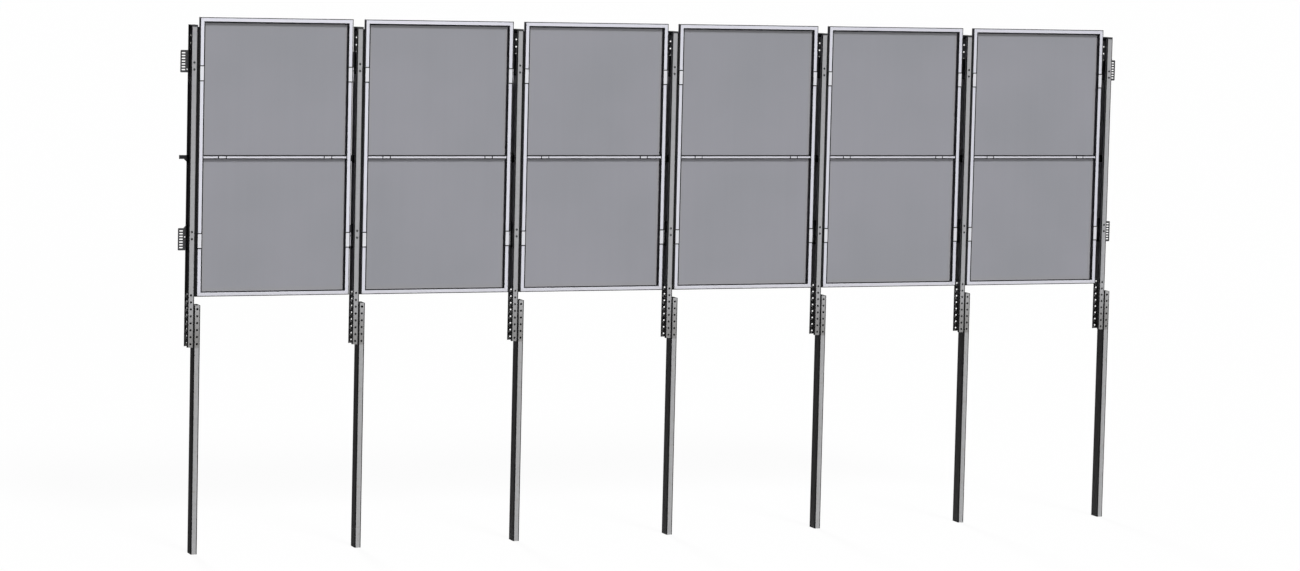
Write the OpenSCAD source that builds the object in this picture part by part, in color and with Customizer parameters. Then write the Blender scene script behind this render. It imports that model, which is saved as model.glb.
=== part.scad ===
// Vertical solar panel fence: framed modules stood upright between perforated
// channel posts, each post bolted side by side with a driven rectangular tube pile.
// Millimetres, +Z up. X runs along the fence, Y from the front to the back.
// Origin: front face of the middle pile, on its centre line, at ground level.

/* [Row] */
// Number of bays, each with one module
bays = 6; // [2:2:6]
// Clear gap between a module's long side and the post beside it
side_gap = 22.5; // [18:0.5:40]
// Height of the modules' lower edge above ground
module_z = 362; // [330:2:600]
// Depth of the module's front face behind the posts' front face
module_y = 28; // [20:1:30]

/* [Module] */
// Width of a module
module_w = 1134; // [900:2:1300]
// Height of a module
module_h = 2000; // [1700:10:2400]
// Depth of the module frame
frame_d = 35; // [32:1:40]
// Width of the frame's wide flange
flange_w = 33; // [26:1:45]
// Width of the lip that holds the laminate
lip_w = 11; // [8:1:14]
// Wall thickness of the frame extrusion
frame_wall = 2; // [1.4:0.1:2.4]
// Width of the hollow chamber beside the outer wall
chamber_w = 12; // [9:1:16]
// Thickness of the glass laminate
laminate_t = 5; // [4:0.2:8]

/* [Crossbar] */
// Height of the bar across the middle of the frame
bar_h = 24; // [16:1:40]
// Wall thickness of the bar
bar_wall = 1.8; // [1.2:0.1:2.4]
// Width of a strap on the bar
strap_w = 50; // [30:1:80]
// Distance from the module's edge to a strap's centre
strap_x = 175; // [120:5:300]
// Thickness of a strap
strap_t = 1.2; // [0.8:0.1:2]

/* [Posts] */
// Height of a post above ground, without its cap
post_h = 2293; // [2263:10:2503]
// Width of a post across the front
post_w = 48; // [40:1:70]
// Depth of a post from front to back
post_d = 100; // [90:2:140]
// Depth of the lips on the post's open side
post_lip = 15; // [8:1:20]
// Sheet thickness of the posts
post_t = 2.5; // [2:0.1:4]
// Height of the cap on a post
cap_h = 15; // [8:1:30]
// Thickness of the cap's top, and of the tongues that hold it in the post
cap_t = 2; // [1.5:0.1:3]
// Reach of the tongues into the post
cap_tongue = 14; // [8:1:30]
// Outer bend radius of the rolled sections
bend_r = 5; // [4.2:0.2:7]

/* [Piles] */
// Length of a pile above ground
pile_top = 303; // [290:1:420]
// Length of a pile below ground
pile_toe = 1497; // [800:10:2200]
// Width of a pile across the front
pile_w = 46; // [40:1:70]
// Wall thickness of the piles
pile_t = 3; // [2:0.1:4]

/* [Holes] */
// Diameter of the bolt holes
hole_d = 12; // [9:0.5:14]
// Diameter of the large hole at the top of a pile
lift_d = 17; // [14:0.5:22]
// Spacing of the holes
hole_pitch = 50; // [40:1:60]
// Height of the lowest hole above ground
hole_z = 25; // [20:1:35]
// Number of holes at the foot of a post
foot_holes = 8; // [7:1:10]
// Number of holes at the top of a pile
pile_holes = 6; // [3:1:6]
// Number of bolts between a post and its pile
splice_bolts = 4; // [2:1:4]
// Number of holes below the top of a post, in its rear flange
head_holes = 3; // [2:1:4]
// Distance of the first of them from the post's top
head_drop = 63; // [30:1:100]
// Spacing of the holes below the top
head_pitch = 54; // [40:1:60]

/* [Brackets] */
// Height of a slotted bracket
bracket_h = 160; // [140:2:220]
// Reach of a bracket from the post's centre line
bracket_reach = 86; // [78:1:110]
// Thickness of the bracket plate
bracket_t = 3; // [2:0.2:5]
// Distance from a bracket's bolts to the edge of its leg
bolt_edge = 17; // [14:1:24]
// Number of slots in a bracket
slots = 7; // [4:1:7]
// Spacing of the slots
slot_pitch = 20; // [16:0.5:20]
// Height of a slot
slot_h = 9; // [6:0.5:12]
// Length of a slot
slot_l = 27; // [20:1:30]
// Distance from a slot's end to the bracket's edge
slot_edge = 9; // [5:1:12]
// Distance of the frame clips above and below the module's middle
clip_rise = 600; // [500:10:700]
// Distance from the upper clip's centre up to its bracket's centre
upper_shift = 84; // [40:1:90]
// Distance from the lower clip's centre up to its bracket's centre
lower_shift = 11; // [0:1:60]
// Distance from a bracket's centre to the middle of its two bolts
bolt_shift = 31; // [0:1:45]
// Height of the corner gusset where a lower bracket leaves the post
flare = 24; // [10:1:40]
// Length of a clip
clip_h = 100; // [80:2:140]
// Thickness of a clip
clip_t = 2.5; // [1.5:0.1:3]
// Width of the clip's lip over the module frame
clip_lip = 34; // [20:1:36]
// Width of the clip's foot on the bracket
clip_foot = 15; // [12:1:17]
// Height of the clip's bolt above its centre
clip_bolt = 27; // [10:1:30]
// Diameter of the clip's bolt hole
clip_hole_d = 9; // [6:0.5:10]
// Inner radius of the bends in brackets and supports
bend_in = 2; // [1:0.5:4]

/* [Mid support] */
// Height of the mid support's arm
arm_h = 28; // [20:1:40]
// Drop of the gusset below the arm, and its length beyond the post
gusset = 27; // [15:1:40]

/* [Hidden] */
posts = bays + 1;
pitch = module_w + post_w + 2 * side_gap;
tiny = 0.01;
fit = 0.2;
mitre_gap = 0.15;
corner_r = 6;
back_y = module_y + frame_d;
mid_z = module_z + module_h / 2;
web_x = post_w / 2;
web_in = web_x - post_t;
leg = back_y - post_d / 2 + bolt_edge;
foot_x = web_x + side_gap - clip_t - clip_foot / 2;
mid_bolt = -gusset / 2;
shelf_y = back_y - frame_wall - laminate_t - 2 * fit;

clip_heights = [mid_z + clip_rise, mid_z - clip_rise];
bracket_heights = [clip_heights[0] + upper_shift, clip_heights[1] + lower_shift];
bolt_pair = [-bolt_shift - hole_pitch / 2, -bolt_shift + hole_pitch / 2];
upper_bolts = [for (z = bolt_pair) bracket_heights[0] + z];
lower_bolts = [for (z = bolt_pair) bracket_heights[1] - z];
foot_heights = [for (k = [0:foot_holes - 1]) hole_z + k * hole_pitch];
pile_heights = [for (k = [0:pile_holes - 2]) hole_z + k * hole_pitch];
splice_heights = [for (k = [1:splice_bolts]) hole_z + k * hole_pitch];
lift_height = hole_z + (pile_holes - 1) * hole_pitch;
head_heights = [for (k = [0:head_holes - 1]) post_h - head_drop - k * head_pitch];

function numbered(name, n) = [for (i = [1:n]) str(name, "_", i)];
function post_x(i) = (i - 1 - bays / 2) * pitch - web_x - pile_w / 2;
function module_x(i) = post_x(i) + web_x + side_gap;

// ---- shared shapes ----

// Rectangle from the origin with rounded corners
module rounded(w, d, r) {
    translate([r, 0]) square([w - 2 * r, d]);
    translate([0, r]) square([w, d - 2 * r]);
    for (x = [r, w - r], y = [r, d - r])
        translate([x, y]) circle(r = r, $fn = 32);
}

// Lipped channel in plan: web along x = 0, flanges running to x = w, open side there
module channel_plan(w, d, lip, t) {
    difference() {
        rounded(w, d, bend_r);
        translate([t, t]) rounded(w - 2 * t, d - 2 * t, bend_r - t);
        translate([w - t - tiny, lip]) square([t + 1, d - 2 * lip]);
    }
}

// Rectangular tube in plan, corners rounded
module tube_plan(w, d, t) {
    difference() {
        rounded(w, d, bend_r);
        translate([t, t]) rounded(w - 2 * t, d - 2 * t, bend_r - t);
    }
}

// Holes bored through along Y at the given heights
module holes_y(heights, d, y0, y1) {
    for (z = heights)
        translate([0, y0, z]) rotate([-90, 0, 0]) cylinder(d = d, h = y1 - y0, $fn = 32);
}

// Holes bored through along X at the given heights
module holes_x(heights, d, x0, x1) {
    for (z = heights)
        translate([x0, 0, z]) rotate([0, 90, 0]) cylinder(d = d, h = x1 - x0, $fn = 32);
}

// ---- posts and piles ----

module post() {
    color("silver") difference() {
        translate([web_x, 0, 0]) mirror([1, 0, 0])
            linear_extrude(post_h) channel_plan(post_w, post_d, post_lip, post_t);
        holes_y(concat(foot_heights, upper_bolts, lower_bolts), hole_d, -1, post_t + 1);
        holes_y(concat(foot_heights, head_heights), hole_d, post_d - post_t - 1, post_d + 1);
        translate([0, post_d / 2, 0])
            holes_x(concat(splice_heights, upper_bolts, lower_bolts, [mid_z + mid_bolt]), hole_d,
                web_in - 1, web_x + 1);
    }
}

// Cap that stands on a post's edge, with a tongue inside each flange
module cap() {
    inner = post_w - 2 * post_t;
    color("silver") translate([-web_x, 0, post_h]) {
        difference() {
            linear_extrude(cap_h) rounded(post_w, post_d, bend_r);
            translate([post_t, post_t, -1]) linear_extrude(cap_h - cap_t + 1)
                rounded(inner, post_d - 2 * post_t, bend_r - post_t);
        }
        for (y = [post_t + fit, post_d - post_t - fit - cap_t])
            translate([post_t + inner / 4, y, -cap_tongue])
                cube([inner / 2, cap_t, cap_tongue + cap_h - cap_t / 2]);
    }
}

module pile() {
    color("darkgray") difference() {
        translate([web_x, 0, -pile_toe])
            linear_extrude(pile_top + pile_toe) tube_plan(pile_w, post_d, pile_t);
        translate([web_x + pile_w / 2, 0, 0]) {
            holes_y(pile_heights, hole_d, -1, post_d + 1);
            holes_y([lift_height], lift_d, -1, post_d + 1);
        }
        translate([0, post_d / 2, 0])
            holes_x(splice_heights, hole_d, web_x - 1, web_x + pile_t + 1);
    }
}

// ---- modules ----

// Section of the frame extrusion: X inward from the outer edge, Y from front to back.
// Wide flange, hollow chamber, shelf and lip, with a channel for the laminate between them.
module frame_section() {
    shelf = shelf_y - module_y;
    difference() {
        union() {
            square([flange_w, frame_wall]);
            square([chamber_w, shelf]);
            square([frame_wall, frame_d]);
            translate([0, frame_d - frame_wall]) square([lip_w, frame_wall]);
        }
        translate([frame_wall, frame_wall])
            square([chamber_w - 2 * frame_wall, shelf - 2 * frame_wall]);
    }
}

// One side of the frame standing along Z, mitred at both ends
module frame_side(length) {
    deep = flange_w + 1;
    intersection() {
        linear_extrude(length) frame_section();
        translate([0, frame_d + 1, 0]) rotate([90, 0, 0]) linear_extrude(frame_d + 2)
            polygon([[-tiny, mitre_gap], [deep, deep + mitre_gap],
                [deep, length - deep - mitre_gap], [-tiny, length - mitre_gap]]);
    }
}

module frame() {
    color("whitesmoke") translate([0, module_y, 0]) {
        frame_side(module_h);
        translate([module_w, 0, 0]) mirror([1, 0, 0]) frame_side(module_h);
        mirror([0, 0, 1]) rotate([0, 90, 0]) frame_side(module_w);
        translate([0, 0, module_h]) rotate([0, 90, 0]) frame_side(module_w);
    }
}

module laminate() {
    edge = frame_wall + fit;
    color("gray") translate([edge, shelf_y + fit, edge])
        cube([module_w - 2 * edge, laminate_t, module_h - 2 * edge]);
}

// Hollow bar, its ends stepped to slip in behind the frame's wide flange
module crossbar() {
    length = module_w - 2 * (chamber_w + fit);
    depth = shelf_y - module_y;
    step = flange_w - chamber_w;
    color("whitesmoke")
        translate([chamber_w + fit, module_y, module_h / 2]) difference() {
            rotate([90, 0, 90]) linear_extrude(length) difference() {
                translate([0, -bar_h / 2]) square([depth, bar_h]);
                translate([bar_wall, bar_wall - bar_h / 2])
                    square([depth - 2 * bar_wall, bar_h - 2 * bar_wall]);
            }
            for (x = [-1, length - step])
                translate([x, -1, -bar_h / 2 - 1])
                    cube([step + 1, frame_wall + fit + 1, bar_h + 2]);
        }
}

module strap() {
    color("white") translate([-strap_w / 2, module_y - strap_t, -bar_h / 2])
        cube([strap_w, strap_t, bar_h]);
}

// ---- brackets, clips and supports ----

// Plan of a bent plate: its leg lies along the web at x = 0, its arm along X behind
// the modules; outer corner rounded, inner corner filleted
module bent_plan(reach) {
    inner = bend_in;
    outer = bend_in + bracket_t;
    translate([0, back_y]) {
        difference() {
            union() {
                square([reach, bracket_t]);
                translate([0, -leg]) square([bracket_t, leg + bracket_t]);
                translate([bracket_t, -inner]) square([inner, inner]);
            }
            translate([bracket_t + inner, -inner]) circle(r = inner, $fn = 24);
            difference() {
                translate([-1, bracket_t - outer]) square([outer + 1, outer + 1]);
                translate([outer, bracket_t - outer]) circle(r = outer, $fn = 32);
            }
        }
    }
}

// Bent plate between two heights, trimmed to the children's outline in the XZ plane
module bent_plate(reach, low, high) {
    intersection() {
        translate([0, 0, low]) linear_extrude(high - low) bent_plan(reach);
        translate([0, back_y + bracket_t + 1, 0]) rotate([90, 0, 0])
            linear_extrude(leg + bracket_t + 2) children();
    }
}

// Slotted bracket, with its root at x = 0 and its middle at z = 0.
// edge is the distance to the post's side, clip_z the height of the clip's bolt.
module bracket(reach, edge, foot, clip_z, flared) {
    low = -bracket_h / 2 - (flared ? flare : 0);
    color("gainsboro") difference() {
        bent_plate(reach, low, bracket_h / 2) {
            translate([0, -bracket_h / 2]) {
                rounded(reach, bracket_h, corner_r);
                square([2 * corner_r, bracket_h]);
            }
            if (flared)
                polygon([[0, 0], [edge + flare, 0], [edge + flare, -bracket_h / 2],
                    [edge, low], [0, low]]);
        }
        for (k = [0:slots - 1])
            translate([reach - slot_l - slot_edge, back_y - 1, (k - (slots - 1) / 2) * slot_pitch])
                slot();
        translate([0, post_d / 2, 0]) holes_x(bolt_pair, hole_d, -1, bracket_t + 1);
        translate([foot, 0, 0]) holes_y([clip_z], clip_hole_d, back_y - 1, back_y + bracket_t + 1);
    }
}

// Round-ended slot along X, cut through a bracket plate
module slot() {
    translate([slot_h / 2, 0, -slot_h / 2]) cube([slot_l - slot_h, bracket_t + 2, slot_h]);
    for (x = [slot_h / 2, slot_l - slot_h / 2])
        translate([x, 0, 0]) rotate([-90, 0, 0]) cylinder(d = slot_h, h = bracket_t + 2, $fn = 24);
}

// Right bracket on the web's outer face, left one on its inner face and out of the open side
module bracket_pair(clip_z, flared) {
    translate([web_x, 0, 0])
        bracket(bracket_reach - web_x, 0, foot_x - web_x, clip_z, flared);
    translate([web_in, 0, 0]) mirror([1, 0, 0])
        bracket(bracket_reach + web_in, web_x + web_in, foot_x + web_in, clip_z, flared);
}

// A pair at each height; the lower pair is turned over and has a gusset at its top
module brackets() {
    translate([0, 0, bracket_heights[0]]) bracket_pair(clip_bolt - upper_shift, false);
    translate([0, 0, bracket_heights[1]]) mirror([0, 0, 1])
        bracket_pair(lower_shift - clip_bolt, true);
}

// Plan of a frame clip: lip over the frame, side along the gap, foot on the bracket
module clip_plan() {
    outer = clip_t + 1;
    difference() {
        union() {
            translate([-clip_t, module_y - clip_t]) square([clip_t + clip_lip, clip_t]);
            translate([-clip_t, module_y - clip_t]) square([clip_t, frame_d + clip_t]);
            translate([-clip_t - clip_foot, back_y - clip_t]) square([clip_foot + clip_t, clip_t]);
        }
        difference() {
            translate([-clip_t - 1, module_y - clip_t - 1]) square(outer + 1);
            translate([outer - clip_t, module_y - clip_t + outer]) circle(r = outer, $fn = 32);
        }
        difference() {
            translate([-outer, back_y - outer]) square(outer + 1);
            translate([-outer, back_y - outer]) circle(r = outer, $fn = 32);
        }
    }
}

// Clamp over a module's long side; drawn for the left side, module edge at x = 0
module clip() {
    color("white") difference() {
        translate([0, 0, -clip_h / 2]) linear_extrude(clip_h) clip_plan();
        translate([-clip_t - clip_foot / 2, 0, 0])
            holes_y([clip_bolt], clip_hole_d, back_y - clip_t - 1, back_y + 1);
    }
}

module clip_row(height) {
    for (i = [1:bays]) translate([module_x(i), 0, height]) {
        clip();
        translate([module_w, 0, 0]) mirror([1, 0, 0]) clip();
    }
}

// Arm behind a module's long side at mid height, with a gusset under its root
module mid_support() {
    low = -arm_h / 2 - gusset;
    reach = bracket_reach + web_in;
    edge = web_x + web_in;
    color("dimgray") translate([web_in, 0, 0]) mirror([1, 0, 0]) difference() {
        bent_plate(reach, low, arm_h / 2)
            polygon([[0, arm_h / 2], [reach, arm_h / 2], [reach, -arm_h / 2],
                [edge + gusset, -arm_h / 2], [edge, low], [0, low]]);
        translate([0, post_d / 2, 0]) holes_x([mid_bolt], hole_d, -1, bracket_t + 1);
    }
}

// ---- assembly ----

for (i = [1:posts]) translate([post_x(i), 0, 0]) {
    post();
    pile();
    brackets();
    cap();  // post_caps
    translate([0, 0, mid_z]) mid_support();  // mid_supports
}
for (i = [1:bays]) translate([module_x(i), 0, module_z]) {
    frame();
    laminate();
    crossbar();
    for (x = [strap_x, module_w - strap_x]) translate([x, 0, module_h / 2]) strap();  // bar_straps
}
clip_row(clip_heights[0]);  // upper_clips
clip_row(clip_heights[1]);  // lower_clips
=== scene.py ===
import math

import bmesh
import bpy
from mathutils import Matrix, Vector


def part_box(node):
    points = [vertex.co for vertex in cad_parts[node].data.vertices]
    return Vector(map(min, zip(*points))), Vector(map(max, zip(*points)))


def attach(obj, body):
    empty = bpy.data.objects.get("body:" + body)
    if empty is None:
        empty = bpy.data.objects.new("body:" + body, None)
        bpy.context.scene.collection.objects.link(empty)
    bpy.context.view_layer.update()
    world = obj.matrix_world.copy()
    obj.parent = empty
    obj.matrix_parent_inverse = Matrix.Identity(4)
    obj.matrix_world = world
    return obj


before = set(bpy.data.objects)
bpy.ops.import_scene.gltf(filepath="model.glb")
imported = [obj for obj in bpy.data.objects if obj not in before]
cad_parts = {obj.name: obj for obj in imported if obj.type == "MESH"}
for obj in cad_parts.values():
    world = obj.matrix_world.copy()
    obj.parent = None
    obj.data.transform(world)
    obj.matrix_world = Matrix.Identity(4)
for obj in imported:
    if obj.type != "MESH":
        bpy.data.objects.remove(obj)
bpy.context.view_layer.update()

scene = bpy.context.scene
scene.view_settings.view_transform = "Standard"

postCount = sum(name.startswith("pile_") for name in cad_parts)
bayCount = postCount - 1
print("frame loaded:", postCount, "posts and", bayCount, "modules")


def low(node):
    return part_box(node)[0]


def high(node):
    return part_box(node)[1]


# places that several pieces and finishes share
pitch = low("frame_2").x - low("frame_1").x
moduleLeft = low("frame_1").x
moduleWidth = high("frame_1").x - moduleLeft
moduleFoot = low("frame_1").z
moduleTop = high("frame_1").z
moduleMiddle = (moduleFoot + moduleTop) / 2
moduleFace = low("frame_1").y
moduleBack = high("frame_1").y
postMiddle = (low("post_1").y + high("post_1").y) / 2     # depth of the bolts in the webs
lowerHoles = (0.779, 0.829)     # heights of the brackets' bolts and holes
upperHoles = (1.990, 2.040)


class Wire:
    # wraps a node's output so that sums and products of it add Math nodes
    def __init__(self, tree, socket=None):
        self.tree = tree
        self.socket = socket

    def node(self, kind, settings=None, inputs=None, out=0):
        made = self.tree.nodes.new(kind)
        for key, value in (settings or {}).items():
            setattr(made, key, value)
        for key, value in (inputs or {}).items():
            if isinstance(value, Wire):
                self.tree.links.new(value.socket, made.inputs[key])
            else:
                made.inputs[key].default_value = value
        return Wire(self.tree, made.outputs[out] if made.outputs else None)

    def other(self, name):
        return Wire(self.tree, self.socket.node.outputs[name])

    def maths(self, operation, *values):
        return self.node("ShaderNodeMath", {"operation": operation}, dict(enumerate(values)))

    def __add__(self, value):
        return self.maths("ADD", self, value)

    def __sub__(self, value):
        return self.maths("SUBTRACT", self, value)

    def __rsub__(self, value):
        return self.maths("SUBTRACT", value, self)

    def __mul__(self, value):
        return self.maths("MULTIPLY", self, value)

    def __truediv__(self, value):
        return self.maths("DIVIDE", self, value)

    def __mod__(self, value):
        return self.maths("FLOORED_MODULO", self, value)

    def __pow__(self, value):
        return self.maths("POWER", self, value)

    def __lt__(self, value):
        return self.maths("LESS_THAN", self, value)

    def __gt__(self, value):
        return self.maths("GREATER_THAN", self, value)

    def __abs__(self):
        return self.maths("ABSOLUTE", self)

    __radd__ = __add__
    __rmul__ = __mul__

    def least(self, value):
        return self.maths("MINIMUM", self, value)

    def most(self, value):
        return self.maths("MAXIMUM", self, value)

    def ramp(self, start, end):
        # 0 at start and 1 at end with soft ends; start may be the larger
        return self.node("ShaderNodeMapRange", {"interpolation_type": "SMOOTHSTEP"},
            {"Value": self, "From Min": start, "From Max": end})

    def within(self, reach, soft):
        # 1 below reach and 0 above it
        return self.ramp(reach + soft, reach - soft)

    def mixed(self, first, second, amount):
        return self.node("ShaderNodeMix", {"data_type": "RGBA"},
            {0: amount, 6: first, 7: second}, 2)

    def plain(self, colour):
        return self.mixed(colour, colour, 0.0)

    def tinted(self, colour, amount):
        # this colour, turned to another one by amount
        return self.mixed(self, colour, amount)

    def scaled(self, factor):
        return self.node("ShaderNodeVectorMath", {"operation": "SCALE"},
            {0: self, "Scale": factor})


def tone(red, green, blue):
    # screen values from 0 to 255, as the linear colour that a shader takes
    def linear(value):
        value /= 255
        return value / 12.92 if value <= 0.04045 else ((value + 0.055) / 1.055) ** 2.4
    return linear(red), linear(green), linear(blue), 1


def newMaterial(name):
    # the material, the start of its node tree, and points on the object
    material = bpy.data.materials.new(name)
    material.use_nodes = True
    material.node_tree.nodes.clear()
    start = Wire(material.node_tree)
    return material, start, start.node("ShaderNodeTexCoord", out="Object")


def closeMaterial(start, inputs):
    shader = start.node("ShaderNodeBsdfPrincipled", {}, inputs)
    start.node("ShaderNodeOutputMaterial", {}, {"Surface": shader})


def noise(point, scale, detail=2, stretch=None):
    if stretch:
        point = point.node("ShaderNodeMapping", {}, {"Vector": point, "Scale": stretch})
    return point.node("ShaderNodeTexNoise", {},
        {"Vector": point, "Scale": scale, "Detail": detail})


def bump(height, strength, distance):
    return height.node("ShaderNodeBump", {},
        {"Height": height, "Strength": strength, "Distance": distance})


def axes(point):
    split = point.node("ShaderNodeSeparateXYZ", {}, {0: point})
    return split.other("X"), split.other("Y"), split.other("Z")


def wavy(height, point, pattern, reach):
    # a height or distance that wanders by a pattern of noise
    return height + (noise(point, *pattern) - 0.5) * reach


def acrossBay(x):
    # distance from the left edge of the nearest module, below 0 on its left
    halfGap = (pitch - moduleWidth) / 2
    return (x - moduleLeft + halfGap) % pitch - halfGap


# in each look, a noise pattern is (scale, detail, stretch), a relief is (strength, distance)
# of a bump, and a band is where a mask is 0 and where it is 1

# painted shade lines and rings for posts and piles, standing in for shade at bends, holes and
# inside tubes
shadeLineLook = {
    "colour": tone(20, 20, 21), "width": 0.0075, "soft": 0.001, "faceBand": (0.0065, 0.0045),
    "insideBand": (0.001, 0.002), "holePitch": 0.05, "ring": 0.008, "ringSoft": 0.0007,
}


def paintedShadeLines(x, depth, height, look):
    # painted shade: dark lines along the bends of the front and back faces, dark rings round
    # the holes, and darkening inside a tube
    sizes = shadeLineLook
    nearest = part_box(look["follows"])
    across = (x - nearest[0].x) % pitch
    width = nearest[1].x - nearest[0].x
    fromEdge = across.least(width - across)
    fromFace = (depth - nearest[0].y).least(nearest[1].y - depth)
    # painted shade line along each bend of the front and back faces
    lines = fromEdge.within(sizes["width"], sizes["soft"]) * fromFace.ramp(*sizes["faceBand"])
    # painted shade inside a tube, away from its front, back and side faces
    lines = lines.most(fromEdge.least(fromFace).ramp(*sizes["insideBand"]) * look["inside"])
    aside = across - width / 2
    front = depth < postMiddle
    # painted shade: a dark ring round each hole, where its wall lies in shade
    holes = [((height % sizes["holePitch"]) - sizes["holePitch"] / 2,
              (height > 0) * (height < look["lastHole"]))]
    holes += [(height - place, front) for place in look["frontHoles"]]
    holes += [(height - place, 1 - front) for place in look["rearHoles"]]
    for above, allowed in holes:
        distance = (aside * aside + above * above) ** 0.5
        lines = lines.most(distance.within(sizes["ring"], sizes["ringSoft"]) * allowed)
    return lines


# painted shade that darkens the feet above ground level, and clay crumbs below it
groundShadeAndClayLook = {
    "colour": tone(120, 118, 115), "depth": 0.8, "shadeEdge": (9, 4), "shadeEdgeReach": 0.16,
    "shadeEdgeBand": (0.34, 0.04), "groundBand": (-0.012, 0.004),
    "evenPart": 0.55, "cloudPart": 0.5,
    "clayColour": tone(150, 143, 132), "clay": (26, 3), "clayReach": 0.3,
    "clayBand": (-0.03, -0.22), "crumbs": (34, 5), "crumbBand": (0.56, 0.7), "crumbDepth": 0.45,
}


def groundShadeAndClay(colour, point, height, cloud):
    # painted shade that darkens the foot above ground level, clay in crumbs below it
    look = groundShadeAndClayLook
    # painted shade: darker towards the ground, with a wavy top edge and a patchy depth
    shadeEdge = wavy(height, point, look["shadeEdge"], look["shadeEdgeReach"])
    groundShade = shadeEdge.ramp(*look["shadeEdgeBand"]) * height.ramp(*look["groundBand"])
    patchy = look["evenPart"] + cloud * look["cloudPart"]
    colour = colour.tinted(look["colour"], groundShade * look["depth"] * patchy)
    clay = wavy(height, point, look["clay"], look["clayReach"]).ramp(*look["clayBand"])
    crumbs = noise(point, *look["crumbs"]).ramp(*look["crumbBand"]) * clay
    return colour.tinted(look["clayColour"], crumbs * look["crumbDepth"])


# "follows" is the node whose bends and holes get painted shade lines
postLook = {
    "colour": tone(167, 167, 169), "roughness": 0.58, "metallic": 0, "specular": 0.12,
    "spangle": 75, "spangleDepth": 0.09, "spangleDull": 0.14,
    "cloud": (3.2, 4), "cloudDepth": 0.09, "cloudDull": 0.12,
    "streak": (1, 3, (70, 70, 1.6)), "streakDepth": 0.07,
    "grain": (420, 2), "grainPart": 0.5, "relief": (0.12, 0.0004),
    "groundShadeAndClay": True, "follows": "post_1", "inside": 0, "lastHole": 0.4,
    "frontHoles": lowerHoles + upperHoles, "rearHoles": (2.122, 2.176, 2.230),
}

# a pile's inside is how strongly painted shade darkens the inside of its tube
pileLook = {
    **postLook, "colour": tone(169, 169, 170), "roughness": 0.62, "spangle": 60,
    "follows": "pile_1", "inside": 0.85, "lastHole": 0.25, "frontHoles": (), "rearHoles": (),
}

capLook = {**postLook, "colour": tone(58, 58, 60), "groundShadeAndClay": False, "follows": None}

bracketLook = {**capLook, "colour": tone(62, 62, 64), "roughness": 0.5, "spangle": 110}

boltLook = {
    **capLook, "colour": tone(140, 140, 142), "roughness": 0.36, "metallic": 0.5,
    "specular": 0.4, "spangle": 300,
}


def galvanised(name, look):
    material, start, point = newMaterial(name)
    x, depth, height = axes(point)
    flakes = point.node("ShaderNodeTexVoronoi", {},
        {"Vector": point, "Scale": look["spangle"]}, "Color")
    flake = flakes.node("ShaderNodeSeparateColor", {}, {0: flakes})
    cloud = noise(point, *look["cloud"])
    streak = noise(point, *look["streak"])
    grain = noise(point, *look["grain"])
    shade = (1 + (flake - 0.5) * look["spangleDepth"] + (cloud - 0.5) * look["cloudDepth"]
             + (streak - 0.5) * look["streakDepth"])
    colour = start.plain(look["colour"]).scaled(shade)
    # painted shade near the ground, and clay below it
    if look["groundShadeAndClay"]:
        colour = groundShadeAndClay(colour, point, height, cloud)
    if look["follows"]:
        # painted shade lines at the bends, round the holes and inside the tube
        colour = colour.tinted(shadeLineLook["colour"], paintedShadeLines(x, depth, height, look))
    rough = grain * look["grainPart"] + flake * (1 - look["grainPart"])
    closeMaterial(start, {
        "Base Color": colour, "Metallic": look["metallic"],
        "Roughness": (look["roughness"] + (flake - 0.5) * look["spangleDull"]
                      + (cloud - 0.5) * look["cloudDull"]),
        "Specular IOR Level": look["specular"], "Normal": bump(rough, *look["relief"])})
    return material


frameLook = {
    "colour": tone(206, 206, 215), "roughness": 0.4, "metallic": 0.15, "specular": 0.2,
    "linesAlong": (1, 2, (2.5, 520, 520)), "linesUp": (1, 2, (520, 520, 2.5)),
    "lineDepth": 0.06, "lineDull": 0.16, "relief": (0.06, 0.0002),
    "cloud": (5, 3), "cloudDepth": 0.05,
    "dust": tone(176, 170, 160), "dustDepth": 0.12, "dustDull": 0.2, "dustHeight": 0.045,
    "drift": (14, 4), "driftReach": 0.05,
    # the rim is a painted shade line along the edges of the front face
    "rim": tone(20, 20, 21), "rimWidth": 0.0055, "rimSoft": 0.0006, "rimFrom": "outline",
    "faceBand": (0.003, 0.001),
}

barLook = {**frameLook, "colour": tone(200, 200, 208), "rimFrom": "bar"}

strapLook = {**barLook, "colour": tone(202, 202, 209)}

clipLook = {
    **frameLook, "colour": tone(212, 212, 217), "rimWidth": 0.004, "rimFrom": "clip",
    "lip": 0.034,
}


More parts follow.
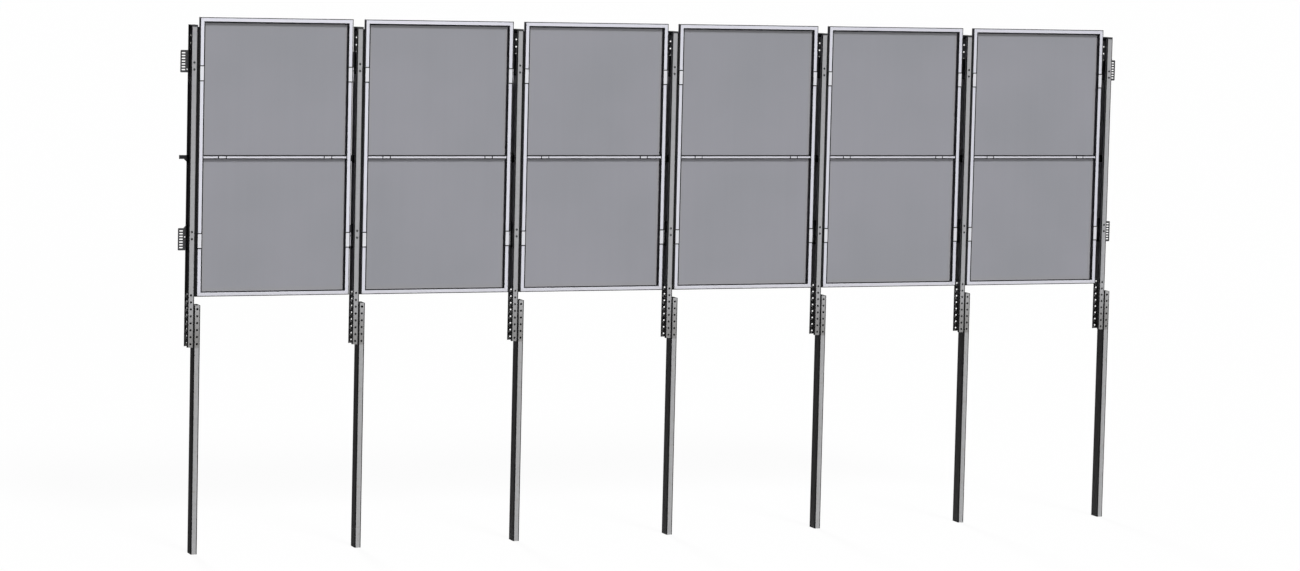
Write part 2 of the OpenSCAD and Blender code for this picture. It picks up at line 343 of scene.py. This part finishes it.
def anodised(name, look, alongX=False):
    # drawn aluminium: faint die lines along each length, painted shade lines along the edges, a
    # little dust low down
    material, start, point = newMaterial(name)
    x, depth, height = axes(point)
    across = acrossBay(x)
    fromSide = across.least(moduleWidth - across)
    fromEnd = (height - moduleFoot).least(moduleTop - height)
    lines = noise(point, *look["linesAlong"])
    if not alongX:
        upright = fromSide < fromEnd
        lines = noise(point, *look["linesUp"]) * upright + lines * (1 - upright)
    cloud = noise(point, *look["cloud"])
    shade = 1 + (lines - 0.5) * look["lineDepth"] + (cloud - 0.5) * look["cloudDepth"]
    colour = start.plain(look["colour"]).scaled(shade)
    drift = wavy(height, point, look["drift"], look["driftReach"])
    drift = drift.ramp(moduleFoot + look["dustHeight"], moduleFoot)
    colour = colour.tinted(look["dust"], drift * look["dustDepth"])
    # painted shade: a dark line along the frame's outer edges, the bar's top and bottom edges,
    # and the clip ends
    if look["rimFrom"] == "bar":
        fromEdge = high("crossbar_1").z - moduleMiddle - abs(height - moduleMiddle)
    elif look["rimFrom"] == "clip":
        fromEdge = fromSide.least(look["lip"] - fromSide)
    else:
        fromEdge = fromSide.least(fromEnd)
    rim = fromEdge.within(look["rimWidth"], look["rimSoft"])
    if look["rimFrom"] != "bar":
        rim = rim * depth.ramp(*(moduleFace + place for place in look["faceBand"]))
    closeMaterial(start, {
        "Base Color": colour.tinted(look["rim"], rim), "Metallic": look["metallic"],
        "Roughness": (look["roughness"] + (lines - 0.5) * look["lineDull"]
                      + drift * look["dustDull"]),
        "Specular IOR Level": look["specular"], "Normal": bump(lines, *look["relief"])})
    return material


laminateLook = {
    "sheet": tone(152, 152, 159), "sheetDark": tone(147, 148, 154),
    "roughness": 0.52, "specular": 0.2, "evenPart": 0.985,
    "cloud": (1.1, 3), "cloudBand": (0.3, 0.75), "cloudDull": 0.12,
    "weave": (900, 1), "weaveDepth": 0.03, "relief": (0.05, 0.0002),
    "rain": (1, 4, (26, 26, 0.7)), "rainDepth": 0.035,
    "grime": (30, 4), "grimeReach": 0.02, "grimeBand": (0.075, 0.036), "grimeDepth": 0.35,
    "dust": tone(152, 150, 148), "glassGloss": 0.3, "coat": 0.4, "coatRoughness": 0.06,
}


def laminateSheets(name, look):
    # plain grey backsheet on one face, half cells under glass on the other
    material, start, point = newMaterial(name)
    x, depth, height = axes(point)
    across = acrossBay(x)
    cloud = noise(point, *look["cloud"])
    weave = noise(point, *look["weave"])
    rain = noise(point, *look["rain"])
    sheet = start.mixed(look["sheet"], look["sheetDark"], cloud.ramp(*look["cloudBand"]))
    sheet = sheet.scaled(look["evenPart"] + (rain - 0.5) * look["rainDepth"]
                         + (weave - 0.5) * look["weaveDepth"])
    edge = across.least(moduleWidth - across)
    edge = edge.least(height - moduleFoot).least(moduleTop - height)
    grime = wavy(edge, point, look["grime"], look["grimeReach"]).ramp(*look["grimeBand"])
    sheet = sheet.tinted(look["dust"], grime * look["grimeDepth"])

    onGlass = depth > (low("laminate_1").y + high("laminate_1").y) / 2
    cells = cellPattern(start, across, height)
    closeMaterial(start, {
        "Base Color": sheet.tinted(cells, onGlass),
        "Roughness": (look["roughness"] + (cloud - 0.5) * look["cloudDull"]
                      - onGlass * look["glassGloss"]),
        "Coat Weight": onGlass * look["coat"], "Coat Roughness": look["coatRoughness"],
        "Specular IOR Level": look["specular"], "Normal": bump(weave, *look["relief"])})
    return material


cellLook = {
    "columns": 6, "width": 0.182, "height": 0.106, "rowsPerHalf": 9, "middleGap": 0.022,
    "gap": 0.0022, "silicon": tone(22, 26, 40), "siliconLight": tone(34, 40, 60),
    "lightPart": 0.7, "wires": 10, "wireWidth": 0.0012, "wire": tone(150, 154, 160),
    "wireDepth": 0.55, "between": tone(206, 208, 210),
}


def cellPattern(start, across, height):
    # two halves of half cells, each with its own shade and fine upright wires
    look = cellLook
    halfGap = look["gap"] / 2
    column = (across - (moduleWidth - look["columns"] * look["width"]) / 2) / look["width"]
    inColumn = (column % 1) * look["width"]
    row = (abs(height - moduleMiddle) - look["middleGap"] / 2) / look["height"]
    inRow = (row % 1) * look["height"]
    cell = ((inColumn.least(look["width"] - inColumn) > halfGap)
            * (inRow.least(look["height"] - inRow) > halfGap)
            * (column > 0) * (column < look["columns"])
            * (row > 0) * (row < look["rowsPerHalf"]))
    wirePitch = look["width"] / look["wires"]
    inWire = (inColumn + wirePitch / 2) % wirePitch
    wire = inWire.least(wirePitch - inWire) < look["wireWidth"] / 2
    patch = start.node("ShaderNodeTexWhiteNoise", {"noise_dimensions": "3D"},
        {"Vector": start.node("ShaderNodeCombineXYZ", {}, {
            0: start.maths("FLOOR", column), 1: start.maths("FLOOR", row),
            2: start.maths("FLOOR", height)})})
    silicon = start.mixed(look["silicon"], look["siliconLight"], patch * look["lightPart"])
    silicon = silicon.tinted(look["wire"], wire * look["wireDepth"])
    return start.plain(look["between"]).tinted(silicon, cell)


supportLook = {
    "colour": tone(24, 24, 26), "worn": tone(52, 52, 54), "wornDepth": 0.5,
    "cloud": (12, 4), "cloudBand": (0.58, 0.74), "cloudDull": 0.15,
    "roughness": 0.55, "specular": 0.15, "grain": (650, 2), "relief": (0.2, 0.0003),
}

rubberLook = {
    "colour": tone(15, 15, 16), "worn": tone(40, 39, 38), "wornDepth": 0.5,
    "cloud": (40, 4), "cloudBand": (0.5, 0.8), "cloudDull": 0.2,
    "roughness": 0.75, "specular": 0.12, "grain": (300, 2), "relief": (0.1, 0.0003),
}


def darkCoat(name, look):
    # black coating or rubber, paler where it is worn or dusty
    material, start, point = newMaterial(name)
    cloud = noise(point, *look["cloud"])
    worn = cloud.ramp(*look["cloudBand"]) * look["wornDepth"]
    closeMaterial(start, {
        "Base Color": start.mixed(look["colour"], look["worn"], worn),
        "Roughness": look["roughness"] + (cloud - 0.5) * look["cloudDull"],
        "Specular IOR Level": look["specular"],
        "Normal": bump(noise(point, *look["grain"]), *look["relief"])})
    return material


clipFinish = anodised("anodisedClip", clipLook, alongX=True)
finishes = {
    "post": galvanised("galvanisedPost", postLook),
    "post_caps": galvanised("zincCap", capLook),
    "pile": galvanised("galvanisedPile", pileLook),
    "brackets": galvanised("zincBracket", bracketLook),
    "frame": anodised("anodisedFrame", frameLook),
    "crossbar": anodised("anodisedBar", barLook, alongX=True),
    "bar": anodised("anodisedStrap", strapLook, alongX=True),
    "upper": clipFinish,
    "lower": clipFinish,
    "laminate": laminateSheets("laminateSheets", laminateLook),
    "mid": darkCoat("supportCoat", supportLook),
}
boltFinish = galvanised("boltZinc", boltLook)
rubberFinish = darkCoat("sealRubber", rubberLook)

# by the whole name, or else by its first word
for name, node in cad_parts.items():
    for slot in node.material_slots:
        slot.material = finishes.get(name) or finishes[name.split("_")[0]]
print("materials on", len(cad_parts), "frame nodes")


meshSizes = {"sharpAngle": 35, "softSteps": 2, "roundSteps": 20, "near": 1e-6}


def makePiece(name, mesh, finish, smooth=False):
    bmesh.ops.recalc_face_normals(mesh, faces=mesh.faces[:])
    data = bpy.data.meshes.new(name)
    mesh.to_mesh(data)
    mesh.free()
    data.materials.append(finish)
    if smooth:
        data.shade_smooth()
        data.set_sharp_from_angle(angle=math.radians(meshSizes["sharpAngle"]))
    piece = bpy.data.objects.new(name, data)
    scene.collection.objects.link(piece)
    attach(piece, "root")


def soften(mesh, edges, offset):
    return bmesh.ops.bevel(mesh, geom=edges, offset=offset, segments=meshSizes["softSteps"],
        profile=0.5, affect="EDGES", material=-1)


def grow(mesh, faces, way):
    # extrude faces along a vector
    made = bmesh.ops.extrude_face_region(mesh, geom=faces)["geom"]
    verts = [vert for vert in made if isinstance(vert, bmesh.types.BMVert)]
    bmesh.ops.translate(mesh, verts=verts, vec=way)


sealSizes = {
    "width": 0.0080, "thick": 0.0034, "proud": 0.0007, "corner": 0.00085,
    "flange": 0.033, "overlap": 0.004,
}


def addRing(mesh, lowCorner, highCorner):
    # flat rectangular ring on the XZ plane, grown towards +Y, with softened corners
    sizes = sealSizes
    middle = (lowCorner + highCorner) / 2
    size = highCorner - lowCorner
    bmesh.ops.create_grid(mesh, x_segments=1, y_segments=1, size=0.5)
    bmesh.ops.scale(mesh, verts=mesh.verts[:], vec=(size.x, size.z, 1))
    inner = mesh.faces[:]
    bmesh.ops.inset_region(mesh, faces=inner, thickness=sizes["width"], use_boundary=True,
        use_even_offset=True)
    bmesh.ops.delete(mesh, geom=inner, context="FACES")
    grow(mesh, mesh.faces[:], (0, 0, -sizes["thick"]))
    upright = Matrix.Rotation(math.radians(90), 3, "X")
    bmesh.ops.rotate(mesh, verts=mesh.verts[:], matrix=upright)
    bmesh.ops.translate(mesh, verts=mesh.verts[:],
        vec=(middle.x, moduleFace - sizes["proud"], middle.z))
    corners = [edge for edge in mesh.edges if edge.calc_face_angle(0) > 1]
    soften(mesh, corners, sizes["corner"])


def makeSeals():
    # thin rubber trim that grips the inner edge of each frame's wide flange, black so that it
    # also paints the shade line along that edge
    inset = sealSizes["flange"] - sealSizes["overlap"]
    inset = Vector((inset, 0, inset))
    for bay in range(1, bayCount + 1):
        mesh = bmesh.new()
        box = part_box("frame_%d" % bay)
        addRing(mesh, box[0] + inset, box[1] - inset)
        makePiece("flangeSeal_%d" % bay, mesh, rubberFinish)


beadSizes = {"radius": 0.003, "steps": 5}


def makeBeads():
    # rounded adhesive bead along both edges of each bar, on the laminate, black so that it also
    # paints the shade line along the bar's edges
    sizes = beadSizes
    face = low("laminate_1").y
    for bay in range(1, bayCount + 1):
        mesh = bmesh.new()
        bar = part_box("crossbar_%d" % bay)
        for side, z in ((-1, bar[0].z), (1, bar[1].z)):
            corner = mesh.verts.new((bar[0].x, face, z))
            tip = mesh.verts.new((bar[0].x, face - sizes["radius"], z))
            bmesh.ops.spin(mesh, geom=[tip], cent=corner.co, axis=(side, 0, 0),
                angle=math.radians(-90), steps=sizes["steps"])
            arc = [vert for vert in mesh.verts
                   if (vert.co - corner.co).length < 2 * sizes["radius"]]
            wedge = mesh.faces.new(sorted(arc, key=lambda vert: (vert is not corner,
                math.atan2((vert.co.z - z) * side, face - vert.co.y))))
            grow(mesh, [wedge], (bar[1].x - bar[0].x, 0, 0))
        makePiece("barBead_%d" % bay, mesh, rubberFinish, smooth=True)


stripSizes = {
    "length": 0.0070, "proud": 0.0008, "corner": 0.0004, "lip": 0.034, "wall": 0.0025,
    "strap": 0.05,
}


def addStrip(mesh, lowCorner, highCorner):
    # thin block with softened edges between two corners
    lowCorner, highCorner = Vector(lowCorner), Vector(highCorner)
    made = bmesh.ops.create_cube(mesh, size=1)["verts"]
    bmesh.ops.scale(mesh, verts=made, vec=highCorner - lowCorner)
    bmesh.ops.translate(mesh, verts=made, vec=(lowCorner + highCorner) / 2)
    edges = dict.fromkeys(edge for vert in made for edge in vert.link_edges)
    soften(mesh, list(edges), stripSizes["corner"])


def makeStrips():
    # rubber strips that close both ends of every clip and strap, black so that they also paint
    # the shade line at those ends
    sizes = stripSizes
    length = sizes["length"]
    ends = {"clipEnds": bmesh.new(), "strapEnds": bmesh.new()}
    clipFront = low("upper_clips").y - sizes["proud"]
    strapFront = low("bar_straps").y - sizes["proud"]
    strapInset = low("bar_straps").x - moduleLeft
    for bay in range(1, bayCount + 1):
        left, right = low("frame_%d" % bay).x, high("frame_%d" % bay).x
        lips = ((left - sizes["wall"], left + sizes["lip"]),
                (right - sizes["lip"], right + sizes["wall"]))
        for row in ("upper_clips", "lower_clips"):
            for z in (low(row).z - length, high(row).z):
                for start, end in lips:
                    addStrip(ends["clipEnds"],
                        (start, clipFront, z), (end, moduleFace, z + length))
        for strap in (left + strapInset, right - strapInset - sizes["strap"]):
            for start in (strap - length, strap + sizes["strap"]):
                addStrip(ends["strapEnds"], (start, strapFront, low("bar_straps").z),
                    (start + length, moduleFace, high("bar_straps").z))
    for name, mesh in ends.items():
        makePiece(name, mesh, rubberFinish)


gapShadeSizes = {"clear": 0.0001, "fromFrame": 0.0027, "behindFace": 0.0008, "thick": 0.0034}


def makeGapShadeStrips():
    # painted shade: a dark strip on each post's web that fills the gap to the module beside it,
    # where there is only shade
    sizes = gapShadeSizes
    mesh = bmesh.new()
    front = moduleFace + sizes["behindFace"]
    for bay in range(1, bayCount + 1):
        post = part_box("post_%d" % bay)
        addStrip(mesh, (post[1].x + sizes["clear"], front, moduleFoot),
            (low("frame_%d" % bay).x - sizes["fromFrame"], front + sizes["thick"], post[1].z))
    makePiece("gapShadeStrips", mesh, rubberFinish)


# metric hex bolts: width across flats, heights of head and nut, washer, and the thread's
# length past the nut
bigBolt = {
    "thread": 0.010, "flats": 0.016, "head": 0.0064, "nut": 0.0084,
    "washer": 0.020, "washerThick": 0.002, "stub": 0.004,
}
smallBolt = {
    "thread": 0.008, "flats": 0.013, "head": 0.0053, "nut": 0.0068,
    "washer": 0.015, "washerThick": 0.0016, "stub": 0.003,
}
# parts of a bolt's own sizes
boltShape = {"chamfer": 0.14, "washerEdge": 0.2, "threadPitch": 0.15, "root": 0.88, "tip": 0.8}


def addHexagon(mesh, flats, start, thick):
    # hexagonal block along +Z with a chamfered far face
    radius = flats / math.sqrt(3)
    made = bmesh.ops.create_cone(mesh, cap_ends=True, segments=6, depth=thick,
        radius1=radius, radius2=radius)["verts"]
    bmesh.ops.translate(mesh, verts=made, vec=(0, 0, start + thick / 2))
    edges = dict.fromkeys(edge for vert in made for edge in vert.link_edges)
    rim = [edge for edge in edges
           if all(abs(end.co.z - start - thick) < meshSizes["near"] for end in edge.verts)]
    soften(mesh, rim, thick * boltShape["chamfer"])


def addTurned(mesh, outline):
    # solid of revolution about Z from (radius, height) points, ends on the axis
    points = [mesh.verts.new((radius, 0, height)) for radius, height in outline]
    edges = [mesh.edges.new(pair) for pair in zip(points, points[1:])]
    bmesh.ops.spin(mesh, geom=points + edges, cent=(0, 0, 0), axis=(0, 0, 1),
        angle=math.radians(360), steps=meshSizes["roundSteps"], use_merge=True)


def washerOutline(size):
    radius, thick = size["washer"] / 2, size["washerThick"]
    soft = thick * boltShape["washerEdge"]
    return [(0, 0), (radius - soft, 0), (radius, soft),
            (radius, thick - soft), (radius - soft, thick), (0, thick)]


def threadOutline(size):
    # one ridge per turn of the thread past the nut, then a narrower end
    start = size["washerThick"] + size["nut"]
    length = size["stub"]
    radius, turnLength = size["thread"] / 2, size["thread"] * boltShape["threadPitch"]
    outline = [(0, start)]
    for turn in range(int(length / turnLength)):
        outline += [(radius * boltShape["root"], start + turn * turnLength),
                    (radius, start + (turn + 0.5) * turnLength)]
    return outline + [(radius * boltShape["tip"], start + length), (0, start + length)]


def addBolt(target, size, grip, place, direction, headWasher=True):
    # head on the side that direction points to, nut on the other
    head, nut = bmesh.new(), bmesh.new()
    if headWasher:
        addTurned(head, washerOutline(size))
    addHexagon(head, size["flats"], size["washerThick"] if headWasher else 0, size["head"])
    addTurned(nut, washerOutline(size))
    addHexagon(nut, size["flats"], size["washerThick"], size["nut"])
    addTurned(nut, threadOutline(size))
    bmesh.ops.rotate(nut, verts=nut.verts[:], matrix=Matrix.Rotation(math.pi, 3, "X"))
    bmesh.ops.translate(nut, verts=nut.verts[:], vec=(0, 0, -grip))
    turn = Vector(direction).to_track_quat("Z", "Y").to_matrix()
    for part in (head, nut):
        bmesh.ops.remove_doubles(part, verts=part.verts[:], dist=meshSizes["near"])
        bmesh.ops.rotate(part, verts=part.verts[:], matrix=turn)
        bmesh.ops.translate(part, verts=part.verts[:], vec=place)
        holder = bpy.data.meshes.new("boltPart")
        part.to_mesh(holder)
        part.free()
        target.from_mesh(holder)
        bpy.data.meshes.remove(holder)


boltPlaces = {
    "pile": (0.075, 0.125, 0.175, 0.225), "bracket": upperHoles + lowerHoles,
    "support": 1.3485, "clipAbove": 0.027, "clipFromCentre": 0.0365,
    "web": 0.0025, "pileWall": 0.003, "plate": 0.003, "clip": 0.0025,
}


def makeBolts():
    places = boltPlaces
    web, plate, clip = places["web"], places["plate"], places["clip"]
    names = ("pileBolts", "bracketBolts", "supportBolts", "clipBolts")
    groups = {name: bmesh.new() for name in names}
    for post in range(1, postCount + 1):
        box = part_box("post_%d" % post)
        webFace, centre = box[1].x, (box[0].x + box[1].x) / 2
        for z in places["pile"]:
            addBolt(groups["pileBolts"], bigBolt, web + places["pileWall"],
                (webFace - web, postMiddle, z), (-1, 0, 0))
        for z in places["bracket"]:
            addBolt(groups["bracketBolts"], bigBolt, web + 2 * plate,
                (webFace + plate, postMiddle, z), (1, 0, 0))
        addBolt(groups["supportBolts"], bigBolt, web + plate,
            (webFace, postMiddle, places["support"]), (1, 0, 0))
        for side, bay in ((-1, post - 1), (1, post)):
            if not 1 <= bay <= bayCount:     # no module past the end posts
                continue
            x = centre + side * places["clipFromCentre"]
            for row in ("upper_clips", "lower_clips"):
                z = (low(row).z + high(row).z) / 2 + places["clipAbove"]
                addBolt(groups["clipBolts"], smallBolt, clip + plate,
                    (x, moduleBack - clip, z), (0, -1, 0), headWasher=False)
    for name, mesh in groups.items():
        makePiece(name, mesh, boltFinish, smooth=True)


makeSeals()
makeBeads()
makeStrips()
makeGapShadeStrips()
makeBolts()
print("seals, beads, strips and bolts made")


floorLook = {"size": 700, "shade": 0.06, "glow": 0.94, "roughness": 0.9, "rightBand": (-6, 2)}


def seenDirectly(start, rightHand):
    # 1 for camera rays, and on the right hand for glossy and transmission rays too
    path = start.node("ShaderNodeLightPath")
    mirrored = path.other("Is Glossy Ray") + path.other("Is Transmission Ray")
    return (path.other("Is Camera Ray") + mirrored * rightHand).least(1)


def makeFloor():
    look = floorLook
    mesh = bmesh.new()
    bmesh.ops.create_grid(mesh, x_segments=1, y_segments=1, size=look["size"] / 2)
    bmesh.ops.translate(mesh, verts=mesh.verts[:], vec=(0, 0, low("pile_1").z))
    data = bpy.data.meshes.new("floor")
    mesh.to_mesh(data)
    mesh.free()
    floor = bpy.data.objects.new("floor", data)
    scene.collection.objects.link(floor)
    material, start, point = newMaterial("floorPaper")
    rightHand = axes(point)[0].ramp(*look["rightBand"])
    closeMaterial(start, {
        "Base Color": (look["shade"], look["shade"], look["shade"], 1),
        "Roughness": look["roughness"], "Specular IOR Level": 0,
        "Emission Color": (1, 1, 1, 1),
        "Emission Strength": seenDirectly(start, rightHand) * look["glow"]})
    data.materials.append(material)


# each lamp comes from degrees round from the front and degrees up
lampSizes = {
    "key": {"from": (9, 38), "power": 2.15, "spread": 16},
    "front": {"from": (5, 8), "power": 1.15, "spread": 9},
    "back": {"from": (176, 34), "power": 2.4, "spread": 9},
}
lampDistance = 10
skyLook = {"ambient": 0.03, "rightBand": (-0.12, 0.12)}


def makeLights():
    for name, lamp in lampSizes.items():
        around, up = map(math.radians, lamp["from"])
        data = bpy.data.lights.new(name + "Lamp", "SUN")
        data.energy = lamp["power"]
        data.angle = math.radians(lamp["spread"])
        source = Vector((math.sin(around) * math.cos(up), -math.cos(around) * math.cos(up),
                         math.sin(up)))
        sun = bpy.data.objects.new(name + "Lamp", data)
        sun.rotation_mode = "QUATERNION"
        sun.rotation_quaternion = source.to_track_quat("Z", "Y")
        sun.location = source * lampDistance
        scene.collection.objects.link(sun)


def makeSky():
    world = bpy.data.worlds.new("studio")
    scene.world = world
    world.use_nodes = True
    world.node_tree.nodes.clear()
    start = Wire(world.node_tree)
    ambient = skyLook["ambient"]
    point = start.node("ShaderNodeTexCoord", out="Generated")
    rightHand = axes(point)[0].ramp(*skyLook["rightBand"])
    strength = ambient + seenDirectly(start, rightHand) * (1 - ambient)
    sky = start.node("ShaderNodeBackground", {}, {"Color": (1, 1, 1, 1), "Strength": strength})
    start.node("ShaderNodeOutputWorld", {}, {"Surface": sky})


cameraSizes = {
    "place": (-10.02245, -24.81837, 2.99158), "heading": 21.550, "dip": 4.184, "roll": 1.371,
    "lens": 98.913, "sensor": 36, "rise": -0.0654, "reach": 1000,
}


def makeCamera():
    sizes = cameraSizes
    data = bpy.data.cameras.new("camera")
    data.sensor_width = sizes["sensor"]
    data.lens = sizes["lens"]
    data.shift_y = sizes["rise"]
    data.clip_end = sizes["reach"]
    camera = bpy.data.objects.new("camera", data)
    camera.matrix_world = (Matrix.Translation(sizes["place"])
        @ Matrix.Rotation(math.radians(-sizes["heading"]), 4, "Z")
        @ Matrix.Rotation(math.radians(90 - sizes["dip"]), 4, "X")
        @ Matrix.Rotation(math.radians(sizes["roll"]), 4, "Z"))
    scene.collection.objects.link(camera)
    scene.camera = camera


makeFloor()
makeLights()
makeSky()
makeCamera()
print("stage ready")
